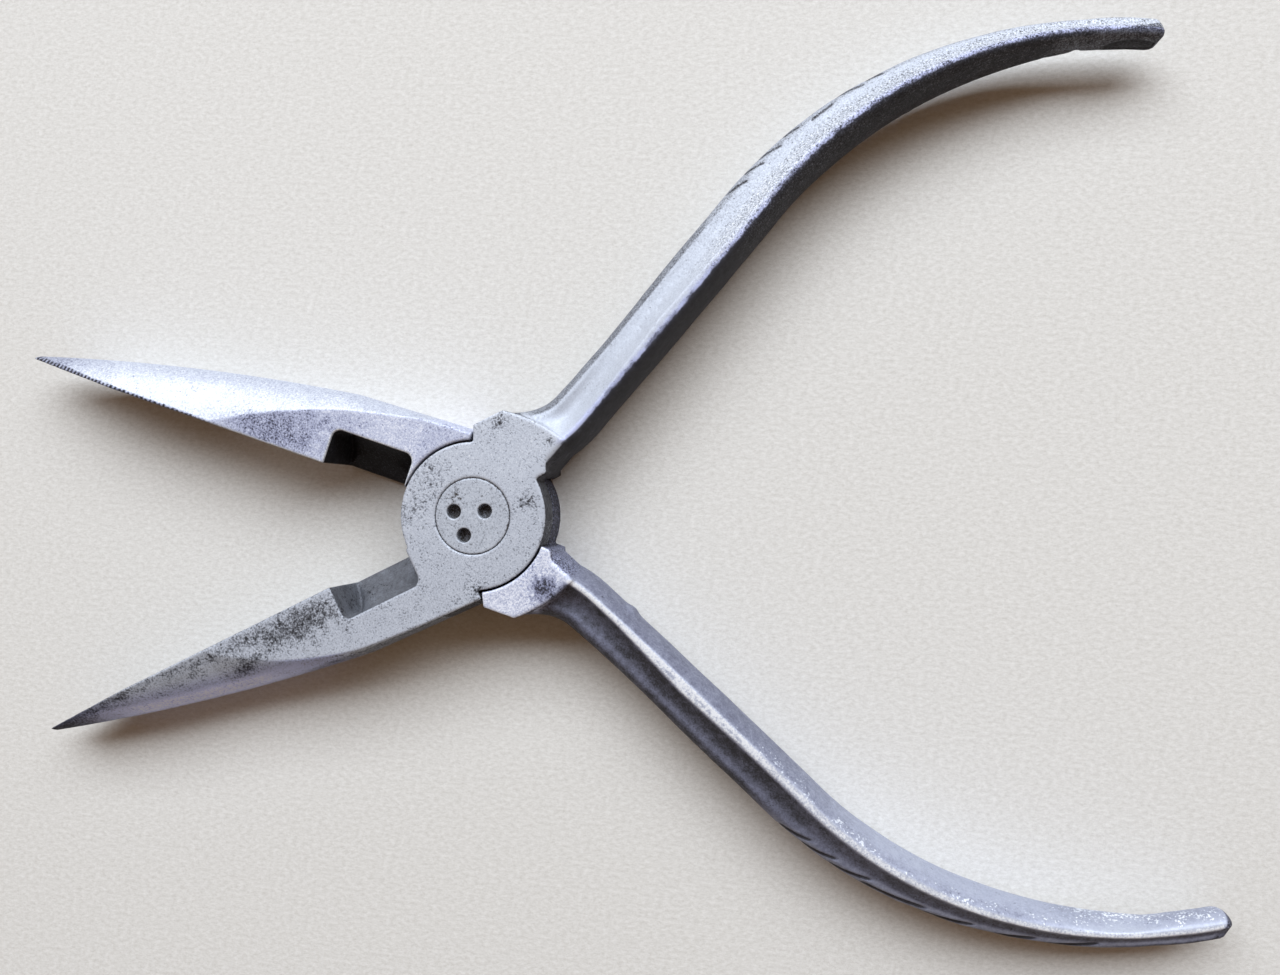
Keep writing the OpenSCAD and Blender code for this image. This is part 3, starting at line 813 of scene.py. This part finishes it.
def back_marks(points, s, off):
    """Flash on the inner edge behind the joint, the filed cuts, and a dent before the end."""
    flash = flash_d * hump(s, flash_s, flash_l) * ramp(off, -2.6, -3.3) * ramp(np.abs(points[:, 2]), 2.4, 1.2)
    dent = hump(s, dent_s, dent_l) * ramp(off, -0.2, -1.0) * ramp(-points[:, 2], -1.5, 0.5)
    return flash - dent_d * dent - back_cut_d * grip_cuts(points, back_cuts)


def back_look(points, at):
    """How the back lever is worn: its brightness, pits, flecks, grain and lavender cast at each point. The
    brightness also holds painted shade and painted highlights.
    """
    x, y, z = points.T
    s, q, jaw, handle = at.s, at.q, at.jaw, at.handle
    flute_middle = (at.c1 + at.g0) / 2
    late = ramp(s, 80, 90)
    rough_patch = jaw * ramp(at.up, 0.93, 0.99) * (
        spots(points, rough_spots) + 0.4 * mottle(points, 0.9, 84) * spot(points, *rough_field))
    ragged_blob = spot(points, *blob, 2.4) + 0.3 * mottle(points, 0.55, 81) + 0.2 * mottle(points, 0.3, 82)
    groove = ramp(np.abs((x + nose_l - tooth_margin) / tooth_pitch % 1 - 0.5), 0.15, 0.35)
    bite = y + 0.25 * ramp(-x, 42, 60) + 0.15 * mottle(points, 0.8, 83)
    inner_side = (0.38 + 0.07 * ramp(s, 40, 60) + 0.02 * late
                  + 0.12 * ramp(s, 50, 65) * (1 - late) * ramp(q, at.c0, 0.1)
                  + 0.16 * ramp(q, at.c0 - 0.5, at.c0 + 0.3)
                  + 0.2 * late * ramp(q, -0.2, at.c0))
    flute = 0.235 + 0.05 * ramp(s, 45, 60) + 0.07 * hump(s, 16, 6) * hump(q, flute_middle, 1.1)
    crest_half = np.maximum(0.5, (at.c1 - at.c0) / 2 + 0.1)
    crest_wear_and_highlight = at.crest * hump(q, at.c0 + crest_half - 0.2, crest_half * 1.25)
    facet_s, facet_off = back_end_facet[0]
    past_facet = at.off + facet_slope * (s - facet_s) - facet_off
    shade = coats(
        0.9 - 0.14 * ramp(-x, -2, 4),
        # The joint's side walls and its lapped face, painted darker as painted shade between the discs
        (at.wall * ramp(x, -3, 0), 0.2),
        ((np.hypot(x, y) < recess_r) * (np.abs(z) < 0.3), 0.2),
        # The nose: its flat; its bevel, painted brighter in from the outer edge as a painted highlight along
        # the ridge; the rough patch; the pocket, painted black as painted shade; and the gripping face with
        # its grooves, painted dark as painted shade in them
        (jaw, 0.83),
        (at.bevel, 0.71 + 0.15 * ramp(at.edge, 0.2, 2.8) - 0.2 * ramp(-x, 52, 64)),
        (np.clip(1.3 * rough_patch, 0, 1), 0.5),
        (at.pocket, 0.0),
        (jaw * ramp(bite, -0.45, -0.25) * ramp(-x, 32, 42), 0.5 - 0.4 * groove),
        # The handle: its inner side; its flute and grip face, painted dark as painted shade where they face
        # away from the window; and the line between them, painted lighter as a painted sheen
        (handle, 0.5),
        (at.inner, inner_side),
        (handle * ramp(q, at.c1 - 0.05, at.c1 + 0.45), flute),
        (at.grip, 0.24),
        (handle * ramp(q, at.g0 - 0.2, at.g0 + 0.2) * window(s, 50, 92, 3), 0.43),
        (handle * hump(q, at.g0 - 0.05, 0.6 - 0.35 * ramp(s, 55, 70)), 0.33 + 0.13 * ramp(s, 55, 70)),
        # The crest line, worn bright and painted brighter still as a painted highlight, mottled along the
        # middle of the straight run
        (crest_wear_and_highlight, 1.16 - 0.2 * ramp(s, 35, 50)),
        (handle * window(q, at.c0 + 0.35, at.c1 - 0.3, 0.12) * window(s, 27, 46, 3)
         * ramp(mottle(points, 0.5, 85), -0.6, 0.6), 0.62),
        # The shoulder's blob; the end's filed facet, painted dark as painted shade where it faces away from
        # the window; and the filed cuts, painted dark as painted shade in them
        (ramp(ragged_blob, 0.3, 0.5) * spot(points, *blob, 4), 0.42),
        (ramp(past_facet, -1.6, -1.2) * (s > 101) * (x > 0), 0.27),
        (ramp(grip_cuts(points, back_cuts), 0.2, 0.8), 0.15))
    fleck_share = late * ramp(q, at.c0, 0.2) + (1 - late) * (0.35 + 0.5 * ramp(q, 0, at.c0 - 0.3))
    return {
        "shade": shade,
        "pitting": (0.2 - 0.2 * handle - 0.1 * at.bevel + 0.2 * spot(points, *joint_side_pits)
                    + 0.3 * at.bevel * ramp(-x, 54, 64) + 0.3 * rough_patch + 0.7 * spot(points, *blob, 3.2)),
        "flecks": at.inner * (0.2 + 0.8 * ramp(s, 26, 50)) * fleck_share,
        "grain": 0.45 + 0.3 * rough_patch + 0.03 * at.inner - 0.36 * handle * (1 - at.crest),
        "lavender": 0.35 * (1 - handle) * (1 - at.bevel) + 0.1 * crest_wear_and_highlight}


back_lever = forging("back_lever_forging", side=-1, seed=12, seats=back_seats)
file_end(back_lever, back_end_facet)
back_points, back_faces = wear(back_lever, side=-1, seed=41, marks=back_marks)
paint(back_lever, **back_look(back_points, back_faces))
open_lever(back_lever, back_points, side=-1)
back_lever.data.materials.append(steel(
    "back_lever_worn_steel", dark=(0.054, 0.055, 0.067), mid=(0.20, 0.215, 0.30),
    plain=(0.44, 0.48, 0.61), bright=(0.70, 0.76, 0.87), rough=0.62, seed=17.0))
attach(back_lever, "back_lever_body")
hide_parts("back_lever")

# Pivot pin
# A turned steel pin with a flush head, pressed into the front lever and riveted over at the back. Three
# blind holes in the head took the maker's spanner, and their insides are painted darker.
head_r, head_h, shank_r, tail_r, tail_h = 4.7, 2.2, 3.0, 4.0, 1.2
hole_r, hole_depth = 0.9, 1.5
hole_spots = [(-2.3, 0.7), (1.6, 0.5), (-1.2, -2.3)]
head_pits = (-1.8, 2.6, 1.6)
pin_edge, pin_skin_step = 0.12, 0.08
profile = [(tail_r - pin_edge, 0), (tail_r, pin_edge), (shank_r, tail_h), (shank_r, joint_t - head_h),
           (head_r, joint_t - head_h), (head_r, joint_t - pin_edge), (head_r - pin_edge, joint_t)]
pin = solid("pivot_pin_turned", [np.c_[ring_line(r, 192), np.full(192, z)] for r, z in profile])
for x, y in hole_spots:
    work(pin, slab("hole", ring_line(hole_r, 64) + [x, y], joint_t - hole_depth, joint_t + past))
even_skin(pin, pin_skin_step)
pin_points = Skin(pin).ease(read_points(pin), 3, 0.35)
pin_x, pin_y, pin_z = pin_points.T
pin_shade = np.full(len(pin_points), 0.6)
in_hole = window(pin_z, joint_t - hole_depth - 0.2, joint_t - 0.3, 0.2)
# The spanner holes are painted darker inside
for x, y in hole_spots:
    from_hole = np.hypot(pin_x - x, pin_y - y)
    pin_shade = coats(pin_shade, (ramp(from_hole, hole_r + 0.08, hole_r - 0.05) * in_hole, 0.3))
# The rim of the head is painted darker, as painted shade in the thin gap round it
head_gap_shade = ramp(np.hypot(pin_x, pin_y), head_r - 0.14, head_r - 0.06)
paint(pin, shade=coats(pin_shade, (head_gap_shade, 0.35)), pitting=0.2 + 0.5 * spot(pin_points, *head_pits),
      grain=0.4)
set_points(pin, pin_points)
pin.data.materials.append(steel(
    "pin_worn_steel", dark=(0.068, 0.060, 0.056), mid=(0.20, 0.21, 0.235),
    plain=(0.51, 0.56, 0.645), bright=(0.68, 0.74, 0.83), rough=0.66, seed=31.0))
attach(pin, "front_lever_body")
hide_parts("pivot_pin")

# Paper, light and camera
# The pliers lie on a sheet of plain pale paper. One wide soft window stands beyond them, well up, with a weak
# warm light from all round, and the camera looks almost straight down.
paper_w = 1.6
fibre_l, fibre_turn, fibre_stretch, fibre_relief = 0.45, 0.2, (0.6, 1, 1), 0.15
paper_tones = ((0.33, (0.685, 0.68, 0.648, 1)), (0.67, (0.89, 0.893, 0.872, 1)))
paper = bpy.data.objects.new("paper", bpy.data.meshes.new("paper"))
paper.data.from_pydata([(a * paper_w, b * paper_w, 0) for a, b in ((-1, -1), (1, -1), (1, 1), (-1, 1))],
                       [], [(0, 1, 2, 3)])
bpy.context.scene.collection.objects.link(paper)
paper_look = bpy.data.materials.new("plain_paper")
paper_look.use_nodes = True
tree = paper_look.node_tree
shader = tree.nodes["Principled BSDF"]
shader.inputs["Roughness"].default_value = 0.9
shader.inputs["Specular IOR Level"].default_value = 0.2
place = tree.nodes.new("ShaderNodeTexCoord")
stretched = tree.nodes.new("ShaderNodeMapping")
stretched.inputs["Rotation"].default_value = (0, 0, fibre_turn)
stretched.inputs["Scale"].default_value = fibre_stretch
link(tree, place.outputs["Object"], stretched.inputs["Vector"])
fibres = tree.nodes.new("ShaderNodeTexNoise")
fibres.inputs["Scale"].default_value = 1 / (fibre_l * MM)
fibres.inputs["Detail"].default_value = 6
fibres.inputs["Roughness"].default_value = 0.78
link(tree, stretched.outputs["Vector"], fibres.inputs["Vector"])
colours = tree.nodes.new("ShaderNodeValToRGB")
for stop, (position, colour) in zip(colours.color_ramp.elements, paper_tones):
    stop.position, stop.color = position, colour
link(tree, fibres.outputs["Fac"], colours.inputs["Fac"])
link(tree, colours.outputs["Color"], shader.inputs["Base Color"])
tooth = tree.nodes.new("ShaderNodeBump")
tooth.inputs["Strength"].default_value = 0.3
tooth.inputs["Distance"].default_value = fibre_relief * MM
link(tree, fibres.outputs["Fac"], tooth.inputs["Height"])
link(tree, tooth.outputs["Normal"], shader.inputs["Normal"])
paper.data.materials.append(paper_look)

world = bpy.data.worlds.new("room")
bpy.context.scene.world = world
world.use_nodes = True
room = world.node_tree.nodes["Background"]
room.inputs["Color"].default_value = (1.0, 0.63, 0.38, 1)
room.inputs["Strength"].default_value = 0.165

window_height, window_far, window_right = math.radians(46), 1.4, 0.24
window_back, window_up = window_far * math.cos(window_height), window_far * math.sin(window_height)
window_light = bpy.data.lights.new("window", "AREA")
window_light.shape = "RECTANGLE"
window_light.size, window_light.size_y = 2.5, 0.85
window_light.energy = 35.5
window_light.color = (0.89, 0.94, 1.0)
window_pane = bpy.data.objects.new("window", window_light)
window_pane.location = (window_right, window_back, window_up)
window_pane.rotation_euler = Euler((window_height - math.pi / 2, 0, 0), "XYZ")
bpy.context.scene.collection.objects.link(window_pane)

# Where the camera is, in millimetres, its height counted from the middle of the joint
eye_x, eye_y, eye_above = 34.77, -0.79, 120.15
eye_turn_deg = (1.056, 6.912, -3.484)
lens_mm, sensor_mm = 27.2, 36
camera = bpy.data.cameras.new("camera")
camera.sensor_width = sensor_mm
camera.lens = lens_mm
camera.clip_start = 0.01
eye = bpy.data.objects.new("camera", camera)
eye.location = (eye_x * MM, eye_y * MM, (eye_above + half_t) * MM)
eye.rotation_euler = Euler([math.radians(a) for a in eye_turn_deg], "XYZ")
bpy.context.scene.collection.objects.link(eye)
bpy.context.scene.camera = eye
bpy.context.scene.view_settings.view_transform = "Standard"
